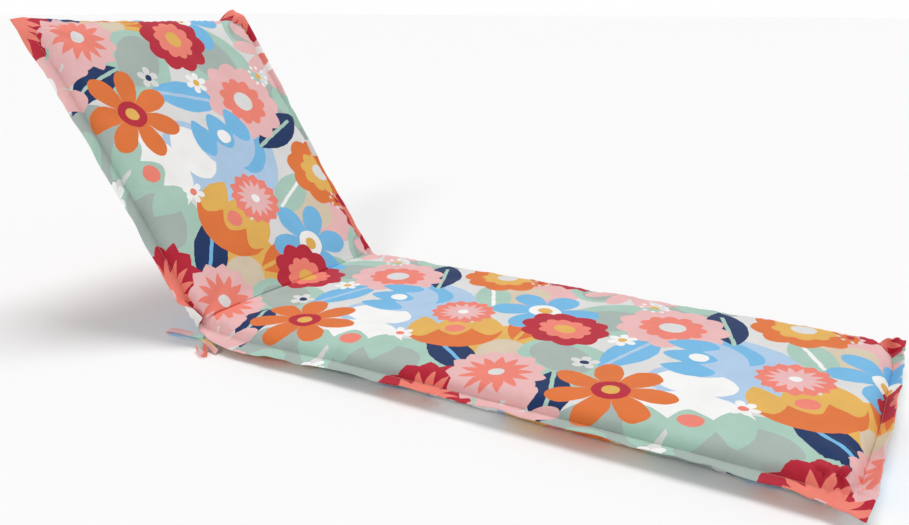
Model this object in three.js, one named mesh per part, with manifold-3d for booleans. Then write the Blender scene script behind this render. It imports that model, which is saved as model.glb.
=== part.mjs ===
// A sun lounger cushion. Its seat lies flat and its back rises from a soft crease at the hips.
// The pad is two printed panels sewn together over a filling. Outside the seam their edges
// stand out all round as a stitched flange, and a cloth tie is knotted at the near end of the
// crease. Millimetres, +Z up, +X towards the foot, -Y the near long side. The origin is on the
// ground under the middle of the whole cushion.

import * as THREE from "three";
import { mergeVertices } from "three/addons/utils/BufferGeometryUtils.js";
import Module from "manifold-3d";

// Sizes of the pad laid flat, lengths measured from the crease to the flange's outer edge
const SEAT_LENGTH = 1204;
const BACK_LENGTH = 726;
const WIDTH = 600;
const HALF_THICKNESS = 27;
const FLANGE_WIDTH = 26;
const FLANGE_HALF_THICKNESS = 1.3;
const BACK_ANGLE = 54.5;

// How the filling shapes the panels: a steep round-over at the seam, rounded corners, a crown
const ROUND_OVER = 28;
const ROUND_OVER_POWER = 2.5;
const CORNER_RADIUS = 40;
const PULL_REACH = 4 * FLANGE_WIDTH;
const CROWN = 3;
const SWELL = { height: 1.2, length: 310, slant: 0.4, phase: 1 };

// The crease: the upper panel's radius there, and the middle plane's radius that follows
const CREASE_RADIUS = 12;
const BEND_RADIUS = CREASE_RADIUS + HALF_THICKNESS;
const BEND = THREE.MathUtils.degToRad(BACK_ANGLE);
const HALF_BEND_LENGTH = (BEND_RADIUS * BEND) / 2;
const BEND_REACH = BEND_RADIUS * Math.tan(BEND / 2);

// The long edges, from head to foot. in: how far the seam is drawn in towards the middle.
// turn: how far the flange is turned up out of the pad's plane, in degrees.
const LONG_EDGES = [
  { along: -726, nearIn: -8, nearTurn: -20, farIn: -2, farTurn: 0 },
  { along: -690, nearIn: -8, nearTurn: -18, farIn: -11, farTurn: 46 },
  { along: -540, nearIn: 0, nearTurn: -8, farIn: -7, farTurn: 35 },
  { along: -430, nearIn: 3, nearTurn: 0, farIn: -3, farTurn: 15 },
  { along: -230, nearIn: 6, nearTurn: 4, farIn: 3, farTurn: 4 },
  { along: -110, nearIn: 6, nearTurn: 0, farIn: 3, farTurn: 8 },
  { along: -45, nearIn: -2, nearTurn: -10, farIn: 8, farTurn: 18 },
  { along: 30, nearIn: 4, nearTurn: -22, farIn: 6, farTurn: 30 },
  { along: 110, nearIn: -4, nearTurn: -25, farIn: -8, farTurn: 16 },
  { along: 250, nearIn: 4, nearTurn: -13, farIn: -8, farTurn: 0 },
  { along: 330, nearIn: 9, nearTurn: -4, farIn: -12, farTurn: -6 },
  { along: 690, nearIn: 10, nearTurn: 5, farIn: -16, farTurn: -4 },
  { along: 960, nearIn: 10, nearTurn: 6, farIn: -20, farTurn: 2 },
  { along: 1080, nearIn: 9, nearTurn: 1, farIn: -15, farTurn: 12 },
  { along: 1150, nearIn: 6, nearTurn: -8, farIn: -12, farTurn: 12 },
  { along: 1178, nearIn: 0, nearTurn: -13, farIn: -10, farTurn: 80 },
  { along: 1204, nearIn: -6, nearTurn: -18, farIn: -6, farTurn: 6 },
];

// The two ends, from the near side to the far one. pull: how far the seam is pulled in.
const HEAD_EDGE = [
  { across: 0, pull: 8, turn: -6 },
  { across: 60, pull: 7, turn: -16 },
  { across: 120, pull: 2, turn: -42 },
  { across: 300, pull: 2, turn: -50 },
  { across: 545, pull: 3, turn: -62 },
  { across: 600, pull: -6, turn: 2 },
];
const FOOT_EDGE = [
  { across: 0, pull: 17, turn: -6 },
  { across: 40, pull: 7, turn: 26 },
  { across: 95, pull: 3, turn: 46 },
  { across: 250, pull: -1, turn: 50 },
  { across: 480, pull: 0, turn: 52 },
  { across: 555, pull: 6, turn: 54 },
  { across: 600, pull: 10, turn: 42 },
];

// Soft puckers: the flange's turn and the round-over's depth vary along every edge
const FLANGE_WAVE = { turn: 5, length: 155, near: 0, far: 2.2, foot: 1.2, head: 3 };
const PUCKER = { share: 0.22, length: 97, near: 0.4, far: 1.9 };
const UNEVEN = { first: 0.6, second: 0.4, ratio: 1.73 };

// Near the crease the tie gathers the near flange, and the panel has one slanting wrinkle
const GATHER = { along: 12, reach: 30, share: 0.3 };
const WRINKLE = { nearAlong: 6, nearAcross: 45, farAlong: 118, farAcross: 215, width: 17, depth: 4 };

// Grid lines: distances in from an edge, and the pitch between them over the rest
const EDGE_LINES = [0, 13, 26, 28, 32, 38, 47, 60];
const ALONG_PITCH = 32;
const ACROSS_PITCH = 48;
const BEND_STEPS = 5;

// The tie, in the frame of the crease: origin on the middle plane at its near end.
// Each ribbon has a route, and the direction its width faces at both ends.
const TIE_WIDTH = 11.5;
const TIE_THICKNESS = 1.6;
const RIBBON_STEPS = 26;
const PIECE_GAP = 0.3;
const EDGE_SAMPLES = 24;
const KNOT = { x: 19, z: -8.5, halfX: 6.5, halfY: 5.5, halfZ: 7.5, waist: 0.18, waistHalf: 0.25 };
const KNOT_STEPS = { round: 14, high: 10 };
const RIBBONS = {
  loop: {
    route: [[16, -7, -7], [-18, -8, -4], [-44, -9, -7], [-62, -10, -9], [-66, -13, -10],
            [-62, -16, -10.5], [-40, -16, -8.5], [-12, -13, -7], [16, -10, -9]],
    widthStart: [0.05, 0.3, 0.95], widthEnd: [0.05, 0.2, 0.97],
  },
  curl: {
    route: [[20, -8, -13], [30, -15, -17], [42, -22, -19.6], [55, -30, -19.9], [62, -37, -19.9],
            [59, -43, -19.9], [49, -42, -19.9], [37, -35, -19.9], [24, -27, -19.9]],
    widthStart: [0.1, 0.5, 0.86], widthEnd: [0, 0, 1],
  },
  tail: {
    route: [[22, -8, -9], [34, -10, -13], [48, -12, -19], [60, -13.5, -23.6], [73, -15, -25.8]],
    widthStart: [-0.3, -0.6, 0.6], widthEnd: [-0.45, -0.89, 0],
  },
};

const COLORS = { cushion: 0xd9b9a4, tie: 0xe3a8a0 };
const CLOTH = { roughness: 0.85, metalness: 0 };

// The value of a table's column, eased between the rows on either side of a place
function column(table, key, name, place) {
  const next = table.findIndex((row) => row[key] >= place);
  if (next <= 0) return table[next === 0 ? 0 : table.length - 1][name];
  const [low, high] = [table[next - 1], table[next]];
  const share = THREE.MathUtils.smoothstep(place, low[key], high[key]);
  return THREE.MathUtils.lerp(low[name], high[name], share);
}

// An uneven wave between -1 and 1 along an edge, from two lengths that never line up
function wave(place, length, phase) {
  const turn = (2 * Math.PI * place) / length;
  return UNEVEN.first * Math.sin(turn + phase) + UNEVEN.second * Math.sin(UNEVEN.ratio * turn + 2 * phase);
}

// Distance inside the seam, whose corners are round. It is negative out on the flange.
function depthInside(along, across) {
  const fromEnd = Math.min(along + BACK_LENGTH, SEAT_LENGTH - along) - FLANGE_WIDTH;
  const fromSide = Math.min(across, WIDTH - across) - FLANGE_WIDTH;
  const [a, b] = [CORNER_RADIUS - fromEnd, CORNER_RADIUS - fromSide];
  if (a > 0 && b > 0) return CORNER_RADIUS - Math.hypot(a, b);
  return Math.min(fromEnd, fromSide);
}

// Half thickness as a share of the full one: a steep rise from the seam, then level
function fullness(along, across) {
  const phase = across > WIDTH / 2 ? PUCKER.far : PUCKER.near;
  const pucker = 1 + PUCKER.share * wave(along + across, PUCKER.length, phase);
  const depth = THREE.MathUtils.clamp(depthInside(along, across) / (ROUND_OVER * pucker), 0, 1);
  return Math.pow(1 - Math.pow(1 - depth, ROUND_OVER_POWER), 1 / ROUND_OVER_POWER);
}

// Depth of the slanting wrinkle, a soft trough along a line from the near end of the crease
function wrinkle(along, across) {
  const near = new THREE.Vector2(WRINKLE.nearAlong, WRINKLE.nearAcross);
  const line = new THREE.Vector2(WRINKLE.farAlong, WRINKLE.farAcross).sub(near);
  const place = new THREE.Vector2(along, across).sub(near);
  const share = place.dot(line) / line.lengthSq();
  const off = Math.abs(place.cross(line)) / line.length();
  const fade = Math.max(0, 1 - Math.pow(2 * share - 1, 2));
  return WRINKLE.depth * fade * Math.exp(-Math.pow(off / WRINKLE.width, 2));
}

// Half thickness on the upper (side 1) or under (side -1) face
function halfThickness(along, across, side) {
  const full = fullness(along, across);
  const middle = 1 - Math.pow((2 * across) / WIDTH - 1, 2);
  const crowned = side > 0 || along < -HALF_BEND_LENGTH ? CROWN * middle : 0;
  const swell = SWELL.height * wave(along + SWELL.slant * across, SWELL.length, SWELL.phase);
  const uneven = side > 0 ? (swell - wrinkle(along, across)) * full : 0;
  return Math.max(FLANGE_HALF_THICKNESS, full * (HALF_THICKNESS + crowned + uneven));
}

// A point beyond the seam: its distance out along the pad's plane, its rise out of that plane, and
// the slope of the cloth there, which is half the flange's on the seam itself
function onFlange(beyond, turnDegrees) {
  const out = Math.max(0, beyond);
  const turn = THREE.MathUtils.degToRad(turnDegrees);
  const slope = beyond > 0 ? turn : beyond === 0 ? turn / 2 : 0;
  return { flat: Math.min(beyond, 0) + out * Math.cos(turn), up: out * Math.sin(turn), slope };
}

// Where the long edge's flange and seam bring a point: y, its rise, and the slope there
function sideways(along, across) {
  const near = across < WIDTH / 2;
  const edge = (name) => column(LONG_EDGES, "along", name, along);
  const phase = near ? FLANGE_WAVE.near : FLANGE_WAVE.far;
  const waved = FLANGE_WAVE.turn * wave(along, FLANGE_WAVE.length, phase);
  const fromTie = (along - GATHER.along) / GATHER.reach;
  const gathered = near ? 1 - GATHER.share * Math.exp(-fromTie * fromTie) : 1;

  const beyond = FLANGE_WIDTH - Math.min(across, WIDTH - across);
  const turn = edge(near ? "nearTurn" : "farTurn") + waved;
  const { flat, up, slope } = onFlange(beyond > 0 ? beyond * gathered : beyond, turn);
  const half = WIDTH / 2 - FLANGE_WIDTH;
  const drawnIn = edge(near ? "nearIn" : "farIn") * Math.min(1, (half + beyond) / half);
  return { y: WIDTH / 2 + (near ? -1 : 1) * (half + flat - drawnIn), up, slope: near ? slope : -slope };
}

// Where the foot's or the head's flange and seam bring a point: x, its rise, and the slope there
function endways(along, across) {
  const toFoot = along > 0;
  const end = (name) => column(toFoot ? FOOT_EDGE : HEAD_EDGE, "across", name, across);
  const phase = toFoot ? FLANGE_WAVE.foot : FLANGE_WAVE.head;
  const waved = FLANGE_WAVE.turn * wave(across, FLANGE_WAVE.length, phase);

  const length = toFoot ? SEAT_LENGTH : BACK_LENGTH;
  const outward = toFoot ? 1 : -1;
  const beyond = FLANGE_WIDTH - (length - outward * along);
  const { flat, up, slope } = onFlange(beyond, end("turn") + waved);
  const pulled = end("pull") * Math.exp(-Math.pow(beyond / PULL_REACH, 2));
  return { x: outward * (length - FLANGE_WIDTH + flat - pulled), up, slope: -outward * slope };
}

// A point of the pad laid flat, with its flanges turned
function flatPoint(along, across, side) {
  const [long, end] = [sideways(along, across), endways(along, across)];
  const normal = new THREE.Vector3(
    Math.sin(end.slope) * Math.cos(long.slope),
    Math.cos(end.slope) * Math.sin(long.slope),
    Math.cos(end.slope) * Math.cos(long.slope),
  ).normalize();
  const middle = new THREE.Vector3(end.x, long.y, end.up + long.up);
  return middle.addScaledVector(normal, side * halfThickness(along, across, side));
}

// Folds the flat pad at the hips: the back turns up about an axis above the pad
function fold(point) {
  const past = THREE.MathUtils.clamp((HALF_BEND_LENGTH - point.x) / (2 * HALF_BEND_LENGTH), 0, 1);
  const angle = past * BEND;
  const radius = BEND_RADIUS - point.z;
  const straight = point.x - THREE.MathUtils.clamp(point.x, -HALF_BEND_LENGTH, HALF_BEND_LENGTH);
  return new THREE.Vector3(
    BEND_REACH - radius * Math.sin(angle) + straight * Math.cos(angle),
    point.y,
    BEND_RADIUS - radius * Math.cos(angle) - straight * Math.sin(angle),
  );
}

// Places from start to end, both included, about a pitch apart
function spread(start, end, pitch) {
  const steps = Math.max(1, Math.round((end - start) / pitch));
  return Array.from({ length: steps + 1 }, (_, i) => start + ((end - start) * i) / steps);
}

// Grid lines over a length: close together at both edges, a pitch apart between
function gridLines(start, end, between) {
  const low = EDGE_LINES.map((d) => start + d);
  const high = EDGE_LINES.map((d) => end - d).reverse();
  return [...low.slice(0, -1), ...between(low.at(-1), high[0]), ...high.slice(1)];
}

const ALONG_LINES = gridLines(-BACK_LENGTH, SEAT_LENGTH, (start, end) => [
  ...spread(start, -HALF_BEND_LENGTH, ALONG_PITCH),
  ...spread(-HALF_BEND_LENGTH, HALF_BEND_LENGTH, (2 * HALF_BEND_LENGTH) / BEND_STEPS).slice(1, -1),
  ...spread(HALF_BEND_LENGTH, end, ALONG_PITCH),
]);
const ACROSS_LINES = gridLines(0, WIDTH, (start, end) => spread(start, end, ACROSS_PITCH));

// The closed pad: an upper and an under face on one grid, joined round the flange's edge
function cushionGeometry() {
  const [rows, columns] = [ALONG_LINES.length, ACROSS_LINES.length];
  const positions = [];
  for (const side of [1, -1]) {
    for (const along of ALONG_LINES) {
      for (const across of ACROSS_LINES) {
        positions.push(...fold(flatPoint(along, across, side)).toArray());
      }
    }
  }
  const upper = (i, j) => i * columns + j;
  const under = (i, j) => rows * columns + upper(i, j);
  const index = [];
  for (let i = 0; i < rows - 1; i++) {
    for (let j = 0; j < columns - 1; j++) {
      index.push(upper(i, j), upper(i + 1, j), upper(i + 1, j + 1));
      index.push(upper(i, j), upper(i + 1, j + 1), upper(i, j + 1));
      index.push(under(i, j), under(i + 1, j + 1), under(i + 1, j));
      index.push(under(i, j), under(i, j + 1), under(i + 1, j + 1));
    }
  }
  const rim = [];
  for (let i = 0; i < rows - 1; i++) rim.push([i, 0]);
  for (let j = 0; j < columns - 1; j++) rim.push([rows - 1, j]);
  for (let i = rows - 1; i > 0; i--) rim.push([i, columns - 1]);
  for (let j = columns - 1; j > 0; j--) rim.push([0, j]);
  rim.forEach((here, k) => {
    const next = rim[(k + 1) % rim.length];
    index.push(upper(...here), under(...here), under(...next));
    index.push(upper(...here), under(...next), upper(...next));
  });
  const geometry = new THREE.BufferGeometry();
  geometry.setAttribute("position", new THREE.Float32BufferAttribute(positions, 3));
  geometry.setIndex(index);
  return geometry;
}

// A flat ribbon swept along a smooth route, its width turning from one direction to another
function ribbonGeometry({ route, widthStart, widthEnd }, offset) {
  const curve = new THREE.CatmullRomCurve3(route.map((p) => new THREE.Vector3(...p).add(offset)));
  const [from, to] = [new THREE.Vector3(...widthStart), new THREE.Vector3(...widthEnd)];
  const positions = [];
  for (let i = 0; i <= RIBBON_STEPS; i++) {
    const share = i / RIBBON_STEPS;
    const tangent = curve.getTangentAt(share);
    const across = from.clone().lerp(to, share);
    across.addScaledVector(tangent, -across.dot(tangent)).setLength(TIE_WIDTH / 2);
    const through = tangent.clone().cross(across).setLength(TIE_THICKNESS / 2);
    for (const [a, b] of [[1, 1], [-1, 1], [-1, -1], [1, -1]]) {
      const corner = curve.getPointAt(share).addScaledVector(across, a).addScaledVector(through, b);
      positions.push(...corner.toArray());
    }
  }
  const index = [0, 2, 1, 0, 3, 2];
  for (let i = 0; i < RIBBON_STEPS; i++) {
    for (let k = 0; k < 4; k++) {
      const [a, b] = [4 * i + k, 4 * i + ((k + 1) % 4)];
      index.push(a, b + 4, a + 4, a, b, b + 4);
    }
  }
  const last = 4 * RIBBON_STEPS;
  index.push(last, last + 1, last + 2, last, last + 2, last + 3);
  const geometry = new THREE.BufferGeometry();
  geometry.setAttribute("position", new THREE.Float32BufferAttribute(positions, 3));
  geometry.setIndex(index);
  return geometry;
}

// The knot, a small flattened lump with a waist where the ribbon wraps round it
function knotGeometry(centre) {
  const geometry = new THREE.SphereGeometry(1, KNOT_STEPS.round, KNOT_STEPS.high);
  const position = geometry.attributes.position;
  const point = new THREE.Vector3();
  for (let i = 0; i < position.count; i++) {
    point.fromBufferAttribute(position, i);
    const waist = 1 - KNOT.waist * Math.exp(-Math.pow(point.z / KNOT.waistHalf, 2));
    position.setXYZ(i, point.x * waist, point.y, point.z);
  }
  geometry.scale(KNOT.halfX, KNOT.halfY, KNOT.halfZ);
  geometry.translate(centre.x, centre.y, centre.z);
  return geometry;
}

// The knot's middle: as close to the near flange's faceted edge as the gap allows
function knotCentre() {
  let y = Infinity;
  for (const side of [1, -1]) {
    const edge = ALONG_LINES.map((along) => fold(flatPoint(along, 0, side)));
    for (let i = 1; i < edge.length; i++) {
      for (const share of spread(0, 1, 1 / EDGE_SAMPLES)) {
        const place = edge[i - 1].clone().lerp(edge[i], share);
        const off = Math.hypot((place.x - KNOT.x) / KNOT.halfX, (place.z - KNOT.z) / KNOT.halfZ);
        if (off < 1) y = Math.min(y, place.y - PIECE_GAP - KNOT.halfY * Math.sqrt(1 - off * off));
      }
    }
  }
  return new THREE.Vector3(KNOT.x, y, KNOT.z);
}

const wasm = await Module();
wasm.setup();

// A closed mesh as a solid that can be joined
function solid(geometry) {
  geometry.deleteAttribute("normal");
  geometry.deleteAttribute("uv");
  const merged = mergeVertices(geometry);
  const vertProperties = new Float32Array(merged.attributes.position.array);
  const triVerts = new Uint32Array(merged.index.array);
  return new wasm.Manifold(new wasm.Mesh({ numProp: 3, vertProperties, triVerts }));
}

// The tie: its loop, curl and free tail, joined at the knot
function tieGeometry() {
  const centre = knotCentre();
  const offset = new THREE.Vector3(0, centre.y + KNOT.halfY, 0);
  const ribbons = Object.values(RIBBONS).map((ribbon) => solid(ribbonGeometry(ribbon, offset)));
  const whole = ribbons.reduce((joined, ribbon) => joined.add(ribbon), solid(knotGeometry(centre)));
  const { vertProperties, triVerts } = whole.getMesh();
  const geometry = new THREE.BufferGeometry();
  geometry.setAttribute("position", new THREE.BufferAttribute(vertProperties, 3));
  geometry.setIndex(new THREE.BufferAttribute(triVerts, 1));
  return geometry;
}

function piece(name, geometry) {
  const mesh = new THREE.Mesh(geometry, new THREE.MeshStandardMaterial({ color: COLORS[name], ...CLOTH }));
  mesh.name = name;
  return mesh;
}

const cushion = new THREE.Group();
cushion.add(piece("cushion", cushionGeometry()), piece("tie", tieGeometry()));

const box = new THREE.Box3().setFromObject(cushion, true);
const middle = box.getCenter(new THREE.Vector3());
cushion.position.set(-middle.x, -middle.y, HALF_THICKNESS);

export default cushion;
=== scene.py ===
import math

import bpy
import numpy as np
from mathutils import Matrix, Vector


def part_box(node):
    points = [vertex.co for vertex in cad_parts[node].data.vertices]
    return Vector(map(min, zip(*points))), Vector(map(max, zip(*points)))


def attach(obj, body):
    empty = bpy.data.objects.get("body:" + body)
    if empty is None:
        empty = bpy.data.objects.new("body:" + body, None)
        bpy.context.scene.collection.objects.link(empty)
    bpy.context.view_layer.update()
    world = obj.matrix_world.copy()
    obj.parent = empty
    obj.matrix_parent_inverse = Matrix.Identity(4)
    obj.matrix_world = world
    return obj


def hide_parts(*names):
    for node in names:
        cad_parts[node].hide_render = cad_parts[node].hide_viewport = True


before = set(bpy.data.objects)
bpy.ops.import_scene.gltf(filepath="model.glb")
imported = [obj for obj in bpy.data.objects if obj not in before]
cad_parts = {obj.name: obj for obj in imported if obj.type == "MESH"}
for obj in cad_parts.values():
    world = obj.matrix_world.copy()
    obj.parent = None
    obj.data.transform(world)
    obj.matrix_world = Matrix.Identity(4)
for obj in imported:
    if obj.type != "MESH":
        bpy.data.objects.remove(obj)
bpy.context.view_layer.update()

# A sun lounger cushion with its seat flat and its back raised. The pad is two printed panels sewn
# together over a filling, with a stitched flange all round and a cloth tie at the hip crease.
#
# A place on the cushion is given by two lengths on the cushion laid flat: along runs from the crease
# towards the foot, and across from the near long side to the far one. Tables hold millimetres and
# degrees. Meshes, the camera and the lights are in metres, on the CAD model's axes.

MM = 0.001

# The pad laid flat, measured to the flange's outer edge
SEAT_LENGTH = 1204
BACK_LENGTH = 726
WIDTH = 600
HALF_THICKNESS = 27
FLANGE_WIDTH = 26
FLANGE_HALF = 1.2
BACK_ANGLE = 54.5
CREASE_RADIUS = 12

# Where the under panel was cut from the printed cloth, from the upper panel's place on it
UNDER_SHIFT = (310, 170)

# How the filling shapes the panels
SIDE_ROUND = {"depth": 28, "power": 2.5}
END_ROUND = {"depth": 40, "power": 1.75}
ROUND_BLEND = 50
CORNER_RADIUS = 40
PULL_REACH = 4 * FLANGE_WIDTH
CROWN = 3

BEND_RADIUS = CREASE_RADIUS + HALF_THICKNESS
BEND = math.radians(BACK_ANGLE)
HALF_BEND = BEND_RADIUS * BEND / 2
BEND_REACH = BEND_RADIUS * math.tan(BEND / 2)


def table(names, rows):
    """A table with a named column for each word of names."""
    return np.array(rows, dtype=[(name, float) for name in names.split()])


# The long edges from head to foot: how far the seam is drawn in, and how far the flange turns up
LONG_EDGES = table("along near_in near_turn far_in far_turn", [
    (-726, -8, -20, -2, 0),
    (-690, -8, -18, -11, 46),
    (-540, 0, -8, -7, 35),
    (-430, 3, 0, -3, 15),
    (-230, 6, 4, 3, 4),
    (-110, 6, 0, 3, 8),
    (-66, 2, 10, 6, 14),
    (-34, -1, 72, 8, 18),
    (-12, 2, 84, 8, 22),
    (8, 4, -2, 7, 26),
    (34, 4, -22, 6, 30),
    (110, -4, -25, -8, 16),
    (250, 4, -13, -8, 0),
    (330, 9, -4, -12, -6),
    (690, 10, 5, -16, -4),
    (960, 10, 6, -20, 2),
    (1080, 9, 1, -15, 12),
    (1150, 6, -8, -12, 12),
    (1178, 0, -13, -10, 80),
    (1204, -6, -18, -6, 6),
])

# The two ends from the near side to the far one
HEAD_EDGE = table("across pull turn", [
    (0, 8, -6), (60, 7, -16), (120, 2, -42), (300, 2, -50), (545, 3, -62), (600, -6, 2),
])
FOOT_EDGE = table("across pull turn", [
    (0, 17, -6), (40, 7, 26), (95, 3, 46), (250, -1, 50), (480, 0, 52), (555, 6, 54), (600, 10, 42),
])

# Long soft waves: the flange's turn, the round-over's depth and the upper panel's height
UNEVEN = {"first": 0.6, "second": 0.4, "ratio": 1.73}
FLANGE_WAVE = {"turn": 5, "length": 155, "near": 0, "far": 2.2, "foot": 1.2, "head": 3}
PUCKER = {"share": 0.22, "length": 97, "near": 0.4, "far": 1.9}
SWELL = {"height": 1.2, "length": 310, "slant": 0.4, "phase": 1}
GATHER = {"along": 8, "reach": 24, "share": 0.38}

# Grid lines of the pad: over the flange, round the edge of the filling, and over the rest
FLANGE_LINES = (0, 2.5, 5.5, 9, 13, 17, 20.5, 23.5, 25.3, 26)
ROUND_LINES = 14
EDGE_BAND = 36
ALONG_PITCH = 7
CREASE_LINES = np.arange(-24, 24.1, 3)
ACROSS_PITCH = 7
RIM_ANGLES = (45, 0, -45)

# Fine relief in mm: the panels' soft unevenness, gathers at the seam and ripples on the flange
SOFT_WAVES = table("height along across seed", [(0.9, 74, 96, 3), (0.45, 31, 40, 7)])
GATHERS = {"height": 2.1, "length": 19, "depth": 17, "drift": 58, "seed": 11}
RIPPLES = {"height": 1.2, "length": 47, "drift": 90, "seed": 19}
NOISE_CELLS = 128
ON_FLANGE = 0.45

# Creases at the corners: how many to a full turn, where they start, and their depth
FANS = table("along across folds phase depth", [
    (SEAT_LENGTH, 0, 18, 2.4, 14),
    (SEAT_LENGTH, WIDTH, 14, 2.1, 1.2),
    (-BACK_LENGTH, 0, 14, 1.2, 3.5),
    (-BACK_LENGTH, WIDTH, 13, 0.3, 3.5),
])
FAN = {"sharp": 2, "inside": 7, "reach_in": 19, "reach_out": 28, "fade": 20, "uneven": 0.12, "drift": 11, "seed": 5,
       "on_seam": 0.4, "seam_reach": 12}

# Wrinkles of the upper panel: troughs along a line, or ridges where the depth is negative. A share
# of them goes on over the flange.
WRINKLES = table("along across to_along to_across width depth", [
    (-5, -60, 5, 150, 5.5, 7),
    (2, 10, -2, 250, 5.5, 3),
    (-3, 170, 3, 430, 6, 3),
    (3, 340, -1, 610, 6, 3),
    (16, -30, 22, 330, 10, -2),
    (-14, -30, 132, 232, 13, 4),
    (10, -26, 158, 214, 15, -2),
    (8, 12, 92, 98, 8, 3),
    (14, 10, 160, 62, 8, 2.4),
    (-8, 14, -70, 120, 8, 3.4),
    (-14, 12, -130, 66, 7, 2.8),
    (-34, 90, -26, 430, 9, 1.2),
    (30, 330, 24, 560, 9, 1.4),
    (-12, 575, -90, 500, 9, 1.5),
    (16, 570, 96, 505, 10, 1.5),
    (1190, 8, 1072, 126, 7, 4),
    (1106, -4, 1070, 78, 6, 3.6),
    (1204, 112, 1130, 132, 6, 3.6),
    (1190, 586, 1086, 482, 7, 3),
    (1192, 300, 1120, 322, 11, 1.6),
    (1192, 190, 1136, 178, 9, 1.5),
    (1192, 420, 1130, 404, 10, 1.6),
    (-712, 14, -602, 120, 7, 3),
    (-712, 586, -610, 482, 7, 3),
    (-712, 250, -650, 262, 10, 1.4),
    (-712, 400, -640, 390, 10, 1.5),
    (300, 120, 470, 180, 22, 0.9),
    (560, 420, 760, 380, 24, 0.8),
    (820, 110, 900, 250, 22, 0.8),
    (-420, 170, -300, 330, 22, 0.9),
    (-560, 420, -430, 360, 20, 0.8),
])


def eased(rows, key, name, place):
    """A column's value at a place: between two rows the share t is eased as 3t^2 - 2t^3."""
    keys, values = rows[key], rows[name]
    after = np.clip(np.searchsorted(keys, place), 1, len(keys) - 1)
    low, high = keys[after - 1], keys[after]
    share = np.clip((place - low) / (high - low), 0, 1)
    share = share * share * (3 - 2 * share)
    return values[after - 1] + (values[after] - values[after - 1]) * share


def wave(place, length, phase):
    """An uneven wave between -1 and 1: two sines whose lengths never line up."""
    turn = 2 * math.pi * place / length
    return UNEVEN["first"] * np.sin(turn + phase) + UNEVEN["second"] * np.sin(UNEVEN["ratio"] * turn + 2 * phase)


def depth_inside(along, across):
    """Distance inside the seam, an inset rectangle with round corners. It is negative on the flange."""
    from_end = np.minimum(along + BACK_LENGTH, SEAT_LENGTH - along) - FLANGE_WIDTH
    from_side = np.minimum(across, WIDTH - across) - FLANGE_WIDTH
    a, b = CORNER_RADIUS - from_end, CORNER_RADIUS - from_side
    in_corner = (a > 0) & (b > 0)
    return np.where(in_corner, CORNER_RADIUS - np.hypot(a, b), np.minimum(from_end, from_side))


def fullness(along, across):
    """Half thickness as a share: a superellipse quarter over the round-over's depth, which puckers.
    It is steep and short along the sides and gentler at both ends."""
    from_end = np.minimum(along + BACK_LENGTH, SEAT_LENGTH - along)
    from_side = np.minimum(across, WIDTH - across)
    at_end = np.clip((from_side - from_end) / ROUND_BLEND + 0.5, 0, 1)
    reach = SIDE_ROUND["depth"] + (END_ROUND["depth"] - SIDE_ROUND["depth"]) * at_end
    power = SIDE_ROUND["power"] + (END_ROUND["power"] - SIDE_ROUND["power"]) * at_end
    phase = np.where(across > WIDTH / 2, PUCKER["far"], PUCKER["near"])
    pucker = 1 + PUCKER["share"] * wave(along + across, PUCKER["length"], phase)
    depth = np.clip(depth_inside(along, across) / (reach * pucker), 0, 1)
    return (1 - (1 - depth) ** power) ** (1 / power)


def half_thickness(along, across, side):
    """Fullness times the half thickness with its crown, a parabola over the width, and a long swell."""
    full = fullness(along, across)
    middle = 1 - (2 * across / WIDTH - 1) ** 2
    crowned = CROWN * middle * np.where((side > 0) | (along < -HALF_BEND), 1, 0)
    swell = SWELL["height"] * wave(along + SWELL["slant"] * across, SWELL["length"], SWELL["phase"])
    uneven = swell * full if side > 0 else 0
    return np.maximum(FLANGE_HALF, full * (HALF_THICKNESS + crowned + uneven))


def on_flange(beyond, turn_degrees):
    """Distance out along the pad's plane, rise out of it and slope, for a place beyond the seam."""
    out = np.maximum(0, beyond)
    turn = np.radians(turn_degrees)
    slope = np.where(beyond > 0, turn, np.where(beyond == 0, turn / 2, 0))
    return np.minimum(beyond, 0) + out * np.cos(turn), out * np.sin(turn), slope


def sideways(along, across):
    """The y, rise and slope that the long edge's flange and drawn-in seam give a place."""
    near = across < WIDTH / 2
    turn = np.where(near, eased(LONG_EDGES, "along", "near_turn", along),
                    eased(LONG_EDGES, "along", "far_turn", along))
    drawn = np.where(near, eased(LONG_EDGES, "along", "near_in", along),
                     eased(LONG_EDGES, "along", "far_in", along))
    turn += FLANGE_WAVE["turn"] * wave(
        along, FLANGE_WAVE["length"], np.where(near, FLANGE_WAVE["near"], FLANGE_WAVE["far"]))
    gather = GATHER["share"] * np.exp(-((along - GATHER["along"]) / GATHER["reach"]) ** 2)
    beyond = FLANGE_WIDTH - np.minimum(across, WIDTH - across)
    flat, up, slope = on_flange(np.where(near & (beyond > 0), beyond * (1 - gather), beyond), turn)
    half = WIDTH / 2 - FLANGE_WIDTH
    drawn_in = drawn * np.minimum(1, (half + beyond) / half)
    outward = np.where(near, -1, 1)
    return WIDTH / 2 + outward * (half + flat - drawn_in), up, -outward * slope


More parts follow.
